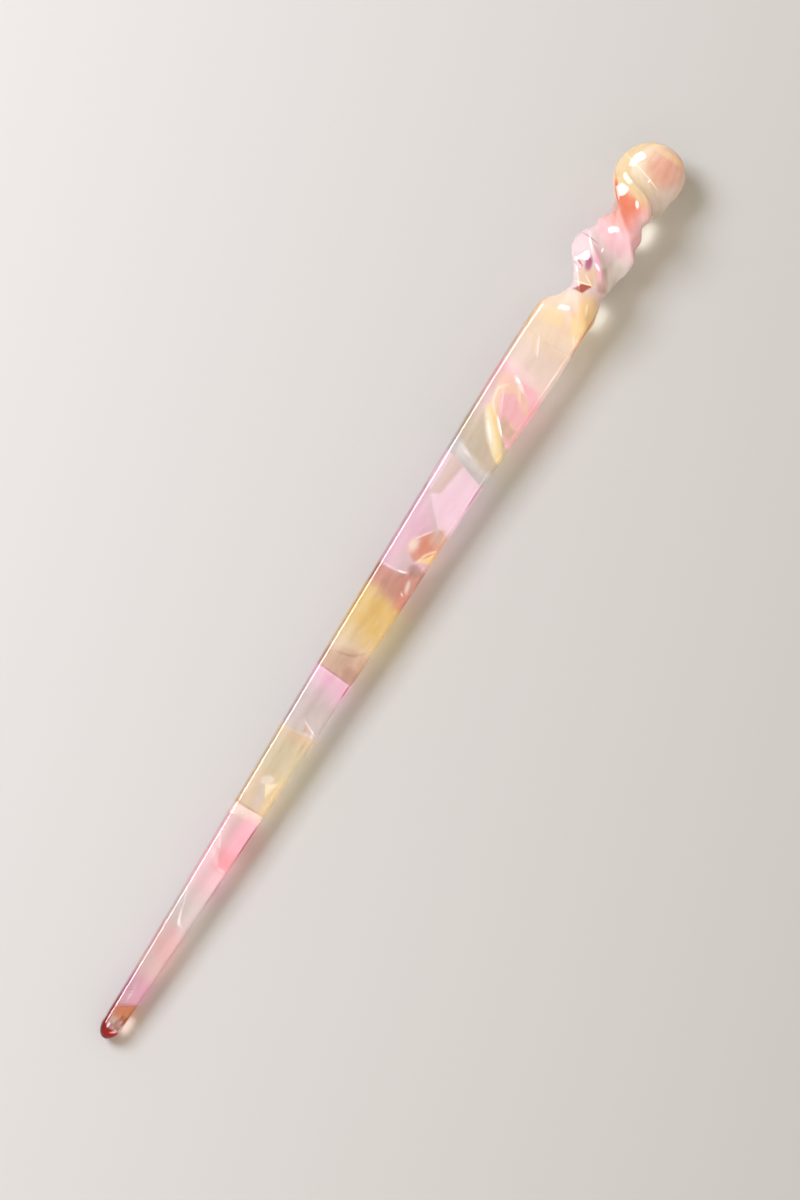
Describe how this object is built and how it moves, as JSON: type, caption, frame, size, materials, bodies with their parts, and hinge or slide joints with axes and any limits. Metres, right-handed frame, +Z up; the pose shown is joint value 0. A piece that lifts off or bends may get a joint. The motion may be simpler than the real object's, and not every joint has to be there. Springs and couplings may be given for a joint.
{
  "type": "hair stick",
  "caption": "Flat tapered hair stick of marbled see-through acetate, with a round tip and a twisted head that ends in a rounded knob.",
  "frame": {"origin": "on the surface that the stick lies on, below the middle of its bounding box", "axes": "+X along the stick from the tip to the knob, +Y across the blade, +Z up from the surface"},
  "size_m": [0.18, 0.0118, 0.0114],
  "materials": {
    "acetate": "polished see-through cellulose acetate, marbled in pink, peach, amber yellow and clear"
  },
  "bodies": {
    "root": {"stick": "acetate"}
  },
  "joints": []
}
